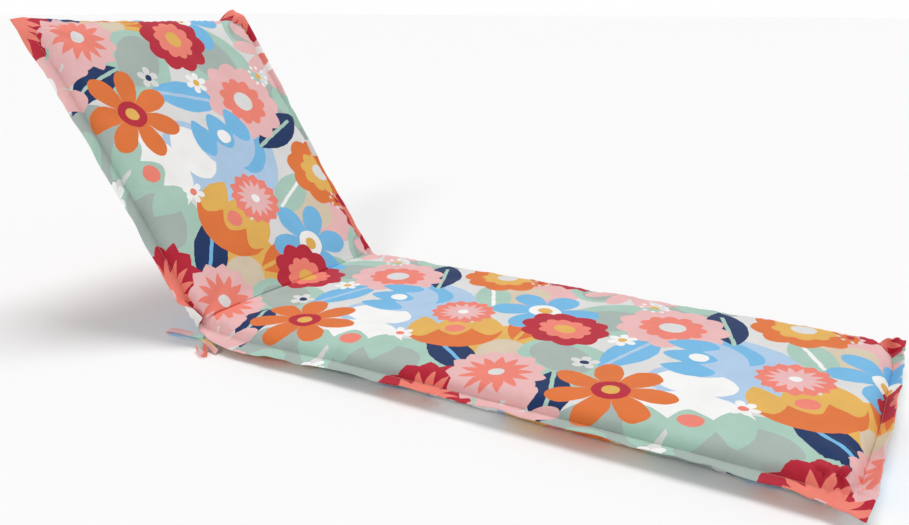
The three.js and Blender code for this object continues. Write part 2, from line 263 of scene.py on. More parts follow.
def endways(along, across):
    """The x, rise and slope that the foot's or the head's flange and pulled seam give a place."""
    to_foot = along > 0
    turn = np.where(to_foot, eased(FOOT_EDGE, "across", "turn", across),
                    eased(HEAD_EDGE, "across", "turn", across))
    pull = np.where(to_foot, eased(FOOT_EDGE, "across", "pull", across),
                    eased(HEAD_EDGE, "across", "pull", across))
    turn += FLANGE_WAVE["turn"] * wave(
        across, FLANGE_WAVE["length"], np.where(to_foot, FLANGE_WAVE["foot"], FLANGE_WAVE["head"]))
    length = np.where(to_foot, SEAT_LENGTH, BACK_LENGTH)
    outward = np.where(to_foot, 1, -1)
    beyond = FLANGE_WIDTH - (length - outward * along)
    flat, up, slope = on_flange(beyond, turn)
    pulled = pull * np.exp(-(beyond / PULL_REACH) ** 2)
    return outward * (length - FLANGE_WIDTH + flat - pulled), up, -outward * slope


def fold(x, y, z):
    """Turns the back up about an axis above the pad: arcs over the bend, straight beyond it."""
    angle = np.clip((HALF_BEND - x) / (2 * HALF_BEND), 0, 1) * BEND
    radius = BEND_RADIUS - z
    straight = x - np.clip(x, -HALF_BEND, HALF_BEND)
    return np.stack([
        BEND_REACH - radius * np.sin(angle) + straight * np.cos(angle),
        y,
        BEND_RADIUS - radius * np.cos(angle) - straight * np.sin(angle),
    ], axis=-1)


def pad_point(along, across, side, lift):
    """The folded place of a point of the pad, lift mm proud of its face along the cloth's normal."""
    y, side_up, side_slope = sideways(along, across)
    x, end_up, end_slope = endways(along, across)
    normal = np.stack([
        np.sin(end_slope) * np.cos(side_slope),
        np.cos(end_slope) * np.sin(side_slope),
        np.cos(end_slope) * np.cos(side_slope),
    ], axis=-1)
    normal /= np.linalg.norm(normal, axis=-1, keepdims=True)
    out = side * (half_thickness(along, across, side) + lift)
    return fold(x + normal[..., 0] * out, y + normal[..., 1] * out, side_up + end_up + normal[..., 2] * out)


def noise(u, v, seed):
    """Smooth noise between -1 and 1: seeded heights at whole numbers, eased between them."""
    heights = np.random.default_rng(seed).uniform(-1, 1, (NOISE_CELLS, NOISE_CELLS))
    i, j = np.floor(u).astype(int), np.floor(v).astype(int)
    a, b = u - i, v - j
    a, b = a * a * (3 - 2 * a), b * b * (3 - 2 * b)

    def at(row, column):
        return heights[(i + row) % NOISE_CELLS, (j + column) % NOISE_CELLS]

    return (1 - a) * ((1 - b) * at(0, 0) + b * at(0, 1)) + a * ((1 - b) * at(1, 0) + b * at(1, 1))


def wrinkles(along, across):
    """The sum of the table's troughs: a bell across each line, fading as a parabola to its ends."""
    total = 0
    for row in WRINKLES:
        start = np.array([row["along"], row["across"]])
        line = np.array([row["to_along"], row["to_across"]]) - start
        place = np.stack([along, across], axis=-1) - start
        share = place @ line / (line @ line)
        off = (place[..., 0] * line[1] - place[..., 1] * line[0]) / math.hypot(*line)
        fade = np.maximum(0, 1 - (2 * share - 1) ** 2)
        total = total - row["depth"] * fade * np.exp(-(off / row["width"]) ** 2)
    return total


def fans(along, across):
    """Creases fanned out at the four corners, as angles about the middle of the seam's arc: a sharpened
    cosine of the angle, times a bell on the distance from the seam, inside the corner's quarter."""
    total = 0
    for row in FANS:
        middle = [row["along"], row["across"]] - row_sign(row) * (FLANGE_WIDTH + CORNER_RADIUS)
        x, y = (along - middle[0]) * row_sign(row)[0], (across - middle[1]) * row_sign(row)[1]
        radius = np.hypot(x, y)
        angle = np.arctan2(y, x) + FAN["uneven"] * noise(x / FAN["drift"], y / FAN["drift"], FAN["seed"])
        folded = (0.5 + 0.5 * np.cos(row["folds"] * angle + row["phase"])) ** FAN["sharp"]
        off = radius - CORNER_RADIUS + FAN["inside"]
        bell = np.exp(-(off / np.where(off < 0, FAN["reach_in"], FAN["reach_out"])) ** 2)
        quarter = np.clip(1 + np.minimum(x, y) / FAN["fade"], 0, 1)
        total = total - row["depth"] * folded * bell * quarter
    return total


def row_sign(row):
    """Which way a corner points: 1 towards the foot and the far side, -1 towards the head and the near one."""
    return np.sign([row["along"], row["across"] - WIDTH / 2])


def relief(along, across, side):
    """Height over the plain pad: simulated swelling, noise and wrinkles times fullness, and gathers that
    die out inside the seam."""
    full = fullness(along, across)
    depth = depth_inside(along, across)
    soft = sum(w["height"] * noise(along / w["along"], across / w["across"], int(w["seed"]) + side)
               for w in SOFT_WAVES) + SWOLLEN(along, across, side)
    if side > 0:
        soft = soft + wrinkles(along, across) + fans(along, across)
    else:
        soft = np.where(along > -HALF_BEND, -np.abs(soft), soft)
    path = along + across
    drift = noise(path / GATHERS["drift"], across / WIDTH, GATHERS["seed"] + side)
    gathered = np.sin(2 * math.pi * path / GATHERS["length"] + 3 * drift) * (0.6 + 0.4 * drift)
    inside = np.clip(depth / 3, 0, 1) * np.exp(-np.maximum(depth, 0) / GATHERS["depth"])
    return soft * full + GATHERS["height"] * gathered * inside


def waves(along, across):
    """How far both faces rise together: ripples and wrinkles that grow towards the flange's edge, and
    the corners' creases, which fade inside the seam as a bell."""
    depth = depth_inside(along, across)
    path = along + across
    drift = noise(path / RIPPLES["drift"], across / WIDTH, RIPPLES["seed"])
    rippled = np.sin(2 * math.pi * path / RIPPLES["length"] + 3 * drift) * (0.5 + 0.5 * drift)
    outside = np.clip(-depth / FLANGE_WIDTH, 0, 1)
    over_seam = FAN["on_seam"] * np.exp(-(np.maximum(depth, 0) / FAN["seam_reach"]) ** 2)
    on_flange = RIPPLES["height"] * rippled + ON_FLANGE * wrinkles(along, across)
    return on_flange * outside + fans(along, across) * over_seam


def grid_lines(start, end, pitch, round_lines=ROUND_LINES):
    """Places from start to end: the flange's lines, even steps round the filling's edge, then a pitch."""
    turn = np.linspace(0, math.pi / 2, round_lines + 1)[1:]
    rounded = FLANGE_WIDTH + EDGE_BAND * (1 - np.cos(turn) ** (2 / SIDE_ROUND["power"]))
    low = np.concatenate([FLANGE_LINES, rounded])
    steps = round((end - start - 2 * low[-1]) / pitch)
    middle = np.linspace(start + low[-1], end - low[-1], steps + 1)[1:-1]
    return np.concatenate([start + low, middle, (end - low)[::-1]])


def new_mesh(name, points, faces, on_cloth=None):
    """A smooth mesh object from points in metres and faces. on_cloth is each face corner's place on
    the cloth in metres, kept as its UV."""
    mesh = bpy.data.meshes.new(name)
    mesh.from_pydata(np.asarray(points).tolist(), [], [list(face) for face in faces])
    mesh.polygons.foreach_set("use_smooth", np.ones(len(mesh.polygons), bool))
    if on_cloth is not None:
        layer = mesh.uv_layers.new(name="cloth")
        layer.uv.foreach_set("vector", np.asarray(on_cloth, np.float32).ravel())
    mesh.update()
    obj = bpy.data.objects.new(name, mesh)
    bpy.context.scene.collection.objects.link(obj)
    return obj


def quads(rows, columns, first=0):
    """The four corners of each cell of a grid of points numbered row by row."""
    corner = first + np.arange(rows - 1)[:, None] * columns + np.arange(columns - 1)
    return np.stack([corner, corner + columns, corner + columns + 1, corner + 1], axis=-1).reshape(-1, 4)


def tube_faces(rows, sides, first=0):
    """The walls and the two end caps of a tube of points numbered ring by ring."""
    number = first + np.arange(rows * sides).reshape(rows, sides)
    start, end = number[:-1], number[1:]
    walls = np.stack([start, np.roll(start, -1, axis=1), np.roll(end, -1, axis=1), end], axis=-1)
    return walls.reshape(-1, 4).tolist() + [number[0][::-1].tolist(), number[-1].tolist()]


def rim_order(rows, columns):
    """The grid's border points in order round it, each once."""
    number = np.arange(rows * columns).reshape(rows, columns)
    return np.concatenate([number[:-1, 0], number[-1, :-1], number[:0:-1, -1], number[0, :0:-1]])


def laid_flat(points, along_lines, across_lines):
    """Each point's place on its flat panel: distances over the cloth, summed along the grid's rows
    and columns from the crease and from the middle line."""
    steps_along = np.linalg.norm(np.diff(points, axis=0), axis=-1)
    steps_across = np.linalg.norm(np.diff(points, axis=1), axis=-1)
    u = np.concatenate([np.zeros((1, points.shape[1])), np.cumsum(steps_along, axis=0)])
    v = np.concatenate([np.zeros((points.shape[0], 1)), np.cumsum(steps_across, axis=1)], axis=1)
    crease, middle = np.abs(along_lines).argmin(), np.abs(across_lines - WIDTH / 2).argmin()
    return np.stack([u - u[crease], v - v[:, middle:middle + 1]], axis=-1)


def outward_normal(points, side):
    """The normal of a grid of points: the product of its steps along and across, on its outer side."""
    normal = side * np.cross(np.gradient(points, axis=0), np.gradient(points, axis=1))
    return normal / np.linalg.norm(normal, axis=-1, keepdims=True)


def pad_mesh(along_lines, across_lines):
    """The closed pad: an upper and an under grid of points, and a half-round rim between them.
    Returns its points, its faces, and the place on the printed cloth of each face's corners."""
    along, across = np.meshgrid(along_lines, across_lines, indexing="ij")
    rows, columns = along.shape
    plain = [pad_point(along, across, side, 0) for side in (1, -1)]
    flat = [laid_flat(points, along_lines, across_lines) for points in plain]
    faces = []
    for side in (1, -1):
        waved = pad_point(along, across, side, side * waves(along, across))
        proud = outward_normal(waved, side) * relief(along, across, side)[..., None]
        faces.append((waved + proud).reshape(-1, 3))
    upper, under = faces
    order = rim_order(rows, columns)
    top, bottom = upper[order], under[order]
    middle, half = (top + bottom) / 2, (top - bottom) / 2
    forward = np.roll(middle, -1, axis=0) - np.roll(middle, 1, axis=0)
    outward = np.cross(forward, half)
    outward /= np.linalg.norm(outward, axis=1, keepdims=True)
    reach = np.linalg.norm(half, axis=1, keepdims=True)
    rims = [middle + half * math.sin(a) + outward * reach * math.cos(a) for a in np.radians(RIM_ANGLES)]
    points = np.concatenate([upper, under, *rims])

    count = rows * columns
    rings = [order, *(2 * count + i * len(order) + np.arange(len(order)) for i in range(len(rims)))]
    rings.append(order + count)
    bands = [np.stack([a, b, np.roll(b, -1), np.roll(a, -1)], axis=1) for a, b in zip(rings, rings[1:])]
    faces = np.concatenate([quads(rows, columns), quads(rows, columns, count)[:, ::-1], *bands])

    upper_cloth, under_cloth = flat[0].reshape(-1, 2), flat[1].reshape(-1, 2) + UNDER_SHIFT
    rim_cloth = upper_cloth[order]
    on_cloth = np.concatenate([upper_cloth, under_cloth, *([rim_cloth] * len(rims))])[faces]
    on_cloth[-len(order):, 1] = rim_cloth
    on_cloth[-len(order):, 2] = np.roll(rim_cloth, -1, axis=0)
    return points, faces, on_cloth.reshape(-1, 2) * MM


# The cloth simulation: a coarse pad whose panels are cut a little large and blown up on a pinned flange
SIM = {"pitch": 13, "round_lines": 6, "frames": 18, "pressure": 0.5, "grow": 0.015, "quality": 4,
       "smoothing": 40, "typical": 0.9, "cap": 2.4}


def simulate_swelling():
    """How far the folds of a coarse pad stand out when air presses on its panels: a function of a place
    and a side, in mm. The broad swelling is smoothed out of it."""
    along_lines = grid_lines(-BACK_LENGTH, SEAT_LENGTH, SIM["pitch"], SIM["round_lines"])
    across_lines = grid_lines(0, WIDTH, SIM["pitch"], SIM["round_lines"])
    along, across = np.meshgrid(along_lines, across_lines, indexing="ij")
    rows, columns = along.shape
    count = rows * columns
    order = rim_order(rows, columns)
    level, raised = ([pad_point(along, across, side, lift) for side in (1, -1)] for lift in (0, 1))
    start = np.concatenate([face.reshape(-1, 3) for face in level])
    outward = np.concatenate([face.reshape(-1, 3) for face in raised]) - start
    rim = np.stack([order, order + count, np.roll(order, -1) + count, np.roll(order, -1)], axis=1)
    faces = np.concatenate([quads(rows, columns), quads(rows, columns, count)[:, ::-1], rim])
    coarse = new_mesh("coarse_pad", start * MM, faces)
    pinned = coarse.vertex_groups.new(name="seam")
    on_seam = np.flatnonzero(np.tile(depth_inside(along, across).ravel() <= 0, 2))
    pinned.add(on_seam.tolist(), 1, "REPLACE")

    cloth = coarse.modifiers.new("cloth", "CLOTH")
    cloth.settings.vertex_group_mass = "seam"
    cloth.settings.quality = SIM["quality"]
    cloth.settings.shrink_min = -SIM["grow"]
    cloth.settings.use_pressure = True
    cloth.settings.uniform_pressure_force = SIM["pressure"]
    cloth.settings.effector_weights.gravity = 0
    cloth.collision_settings.use_collision = False
    cloth.point_cache.frame_end = SIM["frames"]
    scene = bpy.context.scene
    for frame_number in range(1, SIM["frames"] + 1):
        scene.frame_set(frame_number)
    shape = coarse.evaluated_get(bpy.context.evaluated_depsgraph_get()).data
    end = np.zeros(len(start) * 3, np.float32)
    shape.vertices.foreach_get("co", end)
    scene.frame_set(1)
    bpy.data.objects.remove(coarse)

    moved = ((end.reshape(-1, 3) / MM - start) * outward).sum(axis=1).reshape(2, rows, columns)
    broad = moved
    for _ in range(SIM["smoothing"]):
        padded = np.pad(broad, ((0, 0), (1, 1), (1, 1)), "edge")
        broad = (padded[:, :-2, 1:-1] + padded[:, 2:, 1:-1] + padded[:, 1:-1, :-2] + padded[:, 1:-1, 2:]) / 4
    folds = moved - broad
    folds *= SIM["typical"] / folds.std()
    folds = SIM["cap"] * np.tanh(folds / SIM["cap"])

    def swelling(along, across, side):
        i = np.clip(np.searchsorted(along_lines, along) - 1, 0, rows - 2)
        j = np.clip(np.searchsorted(across_lines, across) - 1, 0, columns - 2)
        a = (along - along_lines[i]) / (along_lines[i + 1] - along_lines[i])
        b = (across - across_lines[j]) / (across_lines[j + 1] - across_lines[j])
        face = folds[0 if side > 0 else 1]
        low = face[i, j] * (1 - b) + face[i, j + 1] * b
        high = face[i + 1, j] * (1 - b) + face[i + 1, j + 1] * b
        return low * (1 - a) + high * a

    return swelling


SWOLLEN = simulate_swelling()


def make_pad():
    along_lines = grid_lines(-BACK_LENGTH, SEAT_LENGTH, ALONG_PITCH)
    away = along_lines[np.abs(along_lines) > CREASE_LINES[-1] + ALONG_PITCH / 3]
    points, faces, on_cloth = pad_mesh(
        np.sort(np.concatenate([away, CREASE_LINES])), grid_lines(0, WIDTH, ACROSS_PITCH))
    high = np.array(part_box("cushion")[1]) / MM
    place = np.array([high[0] - points[:, 0].max(), high[1] - points[:, 1].max(), HALF_THICKNESS])
    pad = new_mesh("lounger_pad", (points + place) * MM, faces, on_cloth)
    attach(pad, "root")
    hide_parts("cushion")
    return pad, place


# The stitches that close the panels: just outside the seam on both faces
STITCH = {"outside": 3, "pitch": 3.9, "length": 3.1, "radius": 0.28, "rise": 0.4}
STITCH_RINGS = 4
STITCH_SIDES = 5


def seam_path(outside, pitch):
    """Places and directions round the seam's rounded rectangle, a distance outside it, evenly spaced."""
    inset, radius = FLANGE_WIDTH - outside, CORNER_RADIUS + outside
    low = np.array([-BACK_LENGTH + inset, inset])
    high = np.array([SEAT_LENGTH - inset, WIDTH - inset])
    sizes = high - low - 2 * radius
    corners = [(high[0], low[1], -90), (high[0], high[1], 0), (low[0], high[1], 90), (low[0], low[1], 180)]
    points = []
    for x, y, start in corners:
        centre = np.array([x, y]) - radius * np.array([np.sign(x), 1 if y > WIDTH / 2 else -1])
        angles = np.radians(start + np.linspace(0, 90, 24))
        points.append(centre + radius * np.stack([np.cos(angles), np.sin(angles)], axis=1))
    outline = np.concatenate([*points, points[0][:1]])
    lengths = np.concatenate([[0], np.cumsum(np.linalg.norm(np.diff(outline, axis=0), axis=1))])
    count = round(lengths[-1] / pitch)
    at = np.arange(count) * lengths[-1] / count
    place = np.stack([np.interp(at, lengths, outline[:, k]) for k in (0, 1)], axis=1)
    ahead = np.stack([np.interp((at + 1) % lengths[-1], lengths, outline[:, k]) for k in (0, 1)], axis=1)
    direction = ahead - place
    return place, direction / np.linalg.norm(direction, axis=1, keepdims=True)


def make_stitches(name, side, place_mm):
    """Short threads: each is a tube over an arc that leaves the cloth, rises and goes back in."""
    place, direction = seam_path(STITCH["outside"], STITCH["pitch"])
    share = np.linspace(0, 1, STITCH_RINGS)[None, :, None]
    on_pad = place[:, None] + direction[:, None] * (share - 0.5) * STITCH["length"]
    along, across = on_pad[..., 0], on_pad[..., 1]
    lift = relief(along, across, side) + side * waves(along, across)
    rise = STITCH["rise"] * np.sin(math.pi * share[..., 0]) - STITCH["radius"] / 2
    centre = pad_point(along, across, side, lift + rise)
    up = pad_point(along, across, side, lift + rise + 1) - centre
    up /= np.linalg.norm(up, axis=-1, keepdims=True)
    forward = centre[:, -1:] - centre[:, :1]
    beside = np.cross(up, forward)
    beside /= np.linalg.norm(beside, axis=-1, keepdims=True)
    angles = np.linspace(0, 2 * math.pi, STITCH_SIDES, endpoint=False)[:, None]
    radius = STITCH["radius"] * (0.6 + 0.4 * np.sin(math.pi * share))[..., None, :]
    ring = centre[:, :, None] + radius * (beside[:, :, None] * np.cos(angles) + up[:, :, None] * np.sin(angles))
    points = ring.reshape(-1, 3)

    per_stitch = STITCH_RINGS * STITCH_SIDES
    faces = []
    for first in range(0, len(points), per_stitch):
        faces += tube_faces(STITCH_RINGS, STITCH_SIDES, first)
    stitches = new_mesh(name, (points + place_mm) * MM, faces)
    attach(stitches, "root")
    return stitches


# The tie, from the crease's middle plane at the near flange. Each ribbon has a route, and the
# direction that its width faces at both ends.
TIE_WIDTH = 11.5
TIE_THICKNESS = 1.5
TIE_CUP = 0.5
PINCH = {"share": 0.55, "reach": 15}
TIE_ROWS = 90
TIE_SIDES = 28
KNOT = {"x": 19, "z": -8.5, "half": (7, 6.2, 8.2), "waist": 0.14, "waist_half": 0.25,
        "ridge": 0.16, "turns": 3, "slant": 4.5}
KNOT_ROWS = 40
KNOT_SIDES = 60
RIBBONS = {
    "tie_loop": {
        "route": [(16, -8, -7), (-12, -8.5, -4), (-40, -9.5, -3.4), (-62, -10.5, -5.6), (-71, -11, -9.6),
                  (-62, -11, -13.4), (-40, -10, -13), (-12, -9, -10.6), (16, -8.5, -9.5)],
        "width": [(0, 0.92, 0.39), (0, 0.92, 0.39)],
    },
    "tie_curl": {
        "route": [(20, -8, -13), (30, -15, -17), (42, -22, -19.6), (55, -30, -19.9), (62, -37, -19.9),
                  (59, -43, -19.9), (49, -42, -19.9), (37, -35, -19.9), (24, -27, -19.9)],
        "width": [(0.1, 0.5, 0.86), (0, 0, 1)],
    },
    "tie_tail": {
        "route": [(21, -9, -9), (34, -11, -12), (46, -13.5, -15.6), (58, -16.5, -18.8), (70, -20, -21.4)],
        "width": [(0.36, 0.49, 0.79), (0.36, 0.49, 0.79)],
    },
}


def smooth_route(points, count):
    """Evenly spaced points on a centripetal Catmull-Rom curve, whose knots are root distances apart."""
    p = np.array(points, float)
    p = np.concatenate([[2 * p[0] - p[1]], p, [2 * p[-1] - p[-2]]])
    fine = []
    for a, b, c, d in zip(p, p[1:], p[2:], p[3:]):
        gaps = [math.sqrt(np.linalg.norm(y - x)) for x, y in ((a, b), (b, c), (c, d))]
        start = (b - a) / gaps[0] - (c - a) / (gaps[0] + gaps[1]) + (c - b) / gaps[1]
        end = (c - b) / gaps[1] - (d - b) / (gaps[1] + gaps[2]) + (d - c) / gaps[2]
        t = np.linspace(0, 1, 40)[:, None]
        hermite = ((2 * t**3 - 3 * t**2 + 1) * b + (t**3 - 2 * t**2 + t) * start * gaps[1]
                   + (3 * t**2 - 2 * t**3) * c + (t**3 - t**2) * end * gaps[1])
        fine.append(hermite)
    fine = np.concatenate(fine)
    at = np.concatenate([[0], np.cumsum(np.linalg.norm(np.diff(fine, axis=0), axis=1))])
    even = np.linspace(0, at[-1], count)
    return np.stack([np.interp(even, at, fine[:, k]) for k in range(3)], axis=1), at[-1]


def make_ribbon(name, route, width, looped, place):
    """A closed flat strip along a route. Its width turns from one direction to the other, its section
    is a thin superellipse, and it is a little cupped across and pinched where it leaves the knot.
    Returns it with its length in mm."""
    line, length = smooth_route(route, TIE_ROWS)
    forward = np.gradient(line, axis=0)
    forward /= np.linalg.norm(forward, axis=1, keepdims=True)
    share = np.linspace(0, 1, TIE_ROWS)[:, None]
    beside = np.array(width[0]) * (1 - share) + np.array(width[1]) * share
    beside -= forward * (beside * forward).sum(axis=1, keepdims=True)
    beside /= np.linalg.norm(beside, axis=1, keepdims=True)
    through = np.cross(forward, beside)
    angle = np.linspace(0, 2 * math.pi, TIE_SIDES, endpoint=False)
    u = np.sign(np.cos(angle)) * np.abs(np.cos(angle)) ** 0.5 * TIE_WIDTH / 2
    w = np.sign(np.sin(angle)) * np.abs(np.sin(angle)) ** 0.8 * TIE_THICKNESS / 2
    cup = TIE_CUP * np.sin(2 * math.pi * share) * ((2 * u / TIE_WIDTH) ** 2 - 0.5)
    from_knot = share * length if not looped else np.minimum(share, 1 - share) * length
    pinched = 1 - PINCH["share"] * np.exp(-(from_knot / PINCH["reach"]) ** 2)
    points = line[:, None] + beside[:, None] * (pinched * u)[..., None] + through[:, None] * (w + cup)[..., None]
    flat = np.stack(np.broadcast_arrays(share * length, u), axis=-1).reshape(-1, 2) * MM
    faces = tube_faces(TIE_ROWS, TIE_SIDES)
    on_cloth = np.concatenate([flat[face] for face in faces])
    ribbon = new_mesh(name, (points.reshape(-1, 3) + place) * MM, faces, on_cloth)
    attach(ribbon, "root")
    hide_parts("tie")
    return ribbon, length


def make_knot(place):
    """A flattened lump with a waist. Ridges wind round it, as the ribbon's turns do."""
    height = np.sin(np.linspace(-0.97, 0.97, KNOT_ROWS) * math.pi / 2)[:, None]
    angle = np.linspace(0, 2 * math.pi, KNOT_SIDES, endpoint=False)
    waist = 1 - KNOT["waist"] * np.exp(-(height / KNOT["waist_half"]) ** 2)
    ridge = 1 - KNOT["ridge"] * (1 + np.sin(KNOT["turns"] * angle + KNOT["slant"] * height)) / 2
    radius = np.sqrt(1 - height**2) * waist * ridge
    unit = np.stack(np.broadcast_arrays(radius * np.cos(angle), radius * np.sin(angle), height), axis=-1)
    points = unit.reshape(-1, 3) * KNOT["half"] + place
    flat = np.stack(np.broadcast_arrays(angle * KNOT["half"][0], height * KNOT["half"][2]), axis=-1)
    faces = tube_faces(KNOT_ROWS, KNOT_SIDES)
    on_cloth = np.concatenate([flat.reshape(-1, 2)[face] for face in faces]) * MM
    knot = new_mesh("tie_knot", points * MM, faces, on_cloth)
    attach(knot, "root")
    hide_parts("tie")
    return knot


def make_tie(crease):
    """The knot just outside the flange's edge, and the loop, curl and tail that come out of it."""
    edge = crease + np.array([0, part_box("tie")[1][1] / MM - crease[1], 0])
    knot = make_knot(edge + np.array([KNOT["x"], -KNOT["half"][1], KNOT["z"]]))
    ribbons = []
    for name, row in RIBBONS.items():
        ribbon, length = make_ribbon(name, row["route"], row["width"], name == "tie_loop", edge)
        ribbons.append(ribbon)
    return knot, ribbons


pad, CREASE = make_pad()
stitches = [make_stitches("stitching_upper", 1, CREASE), make_stitches("stitching_under", -1, CREASE)]
knot, ribbons = make_tie(CREASE)


# The camera, as fitted to the photo's edges in the crease's frame
CAMERA = {"place": (1218, -1061, 605), "azimuth": 30.65, "elevation": 16.73, "roll": 0.08, "focal_px": 850.2}
FRAME_PX = 909
SENSOR = 36


def make_camera():
    data = bpy.data.cameras.new("camera")
    data.sensor_fit = "HORIZONTAL"
    data.sensor_width = SENSOR
    data.lens = SENSOR * CAMERA["focal_px"] / FRAME_PX
    camera = bpy.data.objects.new("camera", data)
    azimuth, elevation = math.radians(CAMERA["azimuth"]), math.radians(CAMERA["elevation"])
    turn = Matrix.Rotation(azimuth, 4, "Z") @ Matrix.Rotation(math.pi / 2 - elevation, 4, "X")
    turn = turn @ Matrix.Rotation(math.radians(CAMERA["roll"]), 4, "Z")
    camera.matrix_world = Matrix.Translation(Vector(CREASE + np.array(CAMERA["place"])) * MM) @ turn
    bpy.context.scene.collection.objects.link(camera)
    bpy.context.scene.camera = camera


make_camera()


class Socket:
    """A shader output that takes part in expressions: each operator on it adds a Math node."""

    def __init__(self, shader, output):
        self.shader = shader
        self.output = output

    def math(self, operation, *values):
        return self.shader.node("ShaderNodeMath", {"operation": operation}, dict(enumerate(values)))

    def __add__(self, other):
        return self.math("ADD", self, other)

    def __radd__(self, other):
        return self.math("ADD", other, self)

    def __sub__(self, other):
        return self.math("SUBTRACT", self, other)

    def __rsub__(self, other):
        return self.math("SUBTRACT", other, self)

    def __mul__(self, other):
        return self.math("MULTIPLY", self, other)

    def __rmul__(self, other):
        return self.math("MULTIPLY", other, self)

    def __truediv__(self, other):
        return self.math("DIVIDE", self, other)

    def __pow__(self, other):
        return self.math("POWER", self, other)

    def __abs__(self):
        return self.math("ABSOLUTE", self)

    def __lt__(self, other):
        return self.math("LESS_THAN", self, other)

    def __gt__(self, other):
        return self.math("GREATER_THAN", self, other)


class Shader:
    """A material's node tree, which new nodes are added to."""

    def __init__(self, name):
        self.material = bpy.data.materials.new(name)
        self.material.use_nodes = True
        self.tree = self.material.node_tree
        self.surface = self.tree.nodes["Principled BSDF"]

    def node(self, kind, settings, values, output=0):
        """A node of a type: its settings are set first, then its sockets' values or links."""
        made = self.tree.nodes.new(kind)
        for name, value in settings.items():
            if name == "stops":
                self.set_stops(made.color_ramp, value)
            else:
                setattr(made, name, value)
        for key, value in values.items():
            self.feed(made.inputs[key], value)
        return Socket(self, made.outputs[output])

    def set_stops(self, ramp, stops):
        """Gives a colour ramp its places and colours."""
        for element, (place, color) in zip(ramp.elements, stops):
            element.position, element.color = place, color
        for place, color in stops[2:]:
            ramp.elements.new(place).color = color

    def feed(self, socket, value):
        """Links a socket to another's output, or sets its value."""
        if isinstance(value, Socket):
            self.tree.links.new(value.output, socket)
        else:
            socket.default_value = value

    def set(self, **values):
        """Sets or links the surface's own sockets, with their names' spaces as underscores."""
        for name, value in values.items():
            self.feed(self.surface.inputs[name.replace("_", " ")], value)

    def mix(self, share, first, second):
        """One colour over another where the share is 1."""
        return self.node("ShaderNodeMix", {"data_type": "RGBA"}, {0: share, 6: first, 7: second}, output=2)

    def vector(self, operation, *values, output=0):
        return self.node("ShaderNodeVectorMath", {"operation": operation}, dict(enumerate(values)), output)

    def noise(self, place, scale, detail=2, output=0):
        return self.node("ShaderNodeTexNoise", {}, {"Vector": place, "Scale": scale, "Detail": detail}, output)


# The print's colours, as they look in daylight (sRGB, 0 to 255)
PALETTE = {
    "off_white": (223, 223, 222), "white": (246, 246, 244), "sage": (170, 204, 189),
    "grey_sage": (168, 182, 176), "light_pink": (236, 186, 186), "coral": (240, 132, 116),
    "crimson": (186, 34, 56), "orange": (226, 118, 56), "ochre": (230, 180, 88),
    "navy": (22, 50, 98), "sky": (116, 186, 230), "pale_blue": (176, 204, 232), "sand": (218, 202, 178),
}

# The print's repeat and its motifs, from the bottom to the top. Each has its kind, its middle, its
# size and turn, its number of petals or parts, and its colours from the outside in.
REPEAT = (620, 660)
MOTIFS = [
    ("pebble", 84, 118, 124, 30, 0, "sage grey_sage"),
    ("pebble", 318, 52, 104, -24, 0, "pale_blue sky"),
    ("pebble", 486, 168, 108, 58, 0, "light_pink sand"),
    ("pebble", 196, 326, 116, 80, 0, "grey_sage sage"),
    ("pebble", 424, 404, 132, 12, 0, "sage grey_sage"),
    ("pebble", 566, 540, 104, 118, 0, "ochre sand"),
    ("pebble", 72, 540, 110, -38, 0, "sage grey_sage"),
    ("pebble", 306, 572, 104, 8, 0, "pale_blue white"),
    ("pebble", 604, 300, 102, 96, 0, "sage grey_sage"),
    ("leaf", 262, 184, 92, 112, 0, "navy sage"),
    ("leaf", 500, 476, 92, -36, 0, "navy sky"),
    ("leaf", 148, 634, 92, 74, 0, "sky pale_blue"),
    ("leaf", 424, 112, 90, -62, 0, "sage white"),
    ("leaf", 92, 424, 80, -70, 0, "navy sage"),
    ("leaf", 560, 4, 90, 96, 0, "orange ochre"),
    ("rosette", 176, 126, 104, 12, 11, "light_pink coral off_white"),
    ("daisy", 44, 312, 116, 8, 10, "light_pink white coral"),
    ("rosette", 390, 246, 96, 0, 9, "orange ochre off_white"),
    ("daisy", 552, 88, 106, 20, 6, "sky white ochre"),
    ("ruffle", 522, 336, 98, 25, 15, "crimson coral light_pink"),
    ("cup", 308, 440, 98, 200, 3, "sage white coral"),
    ("daisy", 172, 474, 104, 10, 7, "orange crimson ochre"),
    ("cup", 446, 578, 94, 30, 3, "ochre orange coral"),
    ("ruffle", 604, 446, 86, -30, 13, "light_pink coral off_white"),
    ("rosette", 2, 24, 84, 5, 10, "crimson coral ochre"),
    ("cup", 256, 12, 86, 100, 3, "sky pale_blue white"),
    ("ruffle", 414, 4, 66, 60, 14, "coral light_pink white"),
    ("beads", 112, 222, 34, 0, 9, "white ochre"),
    ("beads", 470, 250, 28, 12, 8, "off_white crimson"),
    ("daisy", 300, 340, 28, 12, 5, "white ochre ochre"),
    ("daisy", 116, 20, 28, 40, 6, "white ochre ochre"),
    ("daisy", 366, 514, 26, 0, 6, "white coral coral"),
    ("daisy", 92, 562, 26, 30, 5, "off_white navy navy"),
]


def linear(name):
    """A palette colour in linear light."""
    c = np.array(PALETTE[name]) / 255
    return (*np.where(c <= 0.04045, c / 12.92, ((c + 0.055) / 1.055) ** 2.4).tolist(), 1)


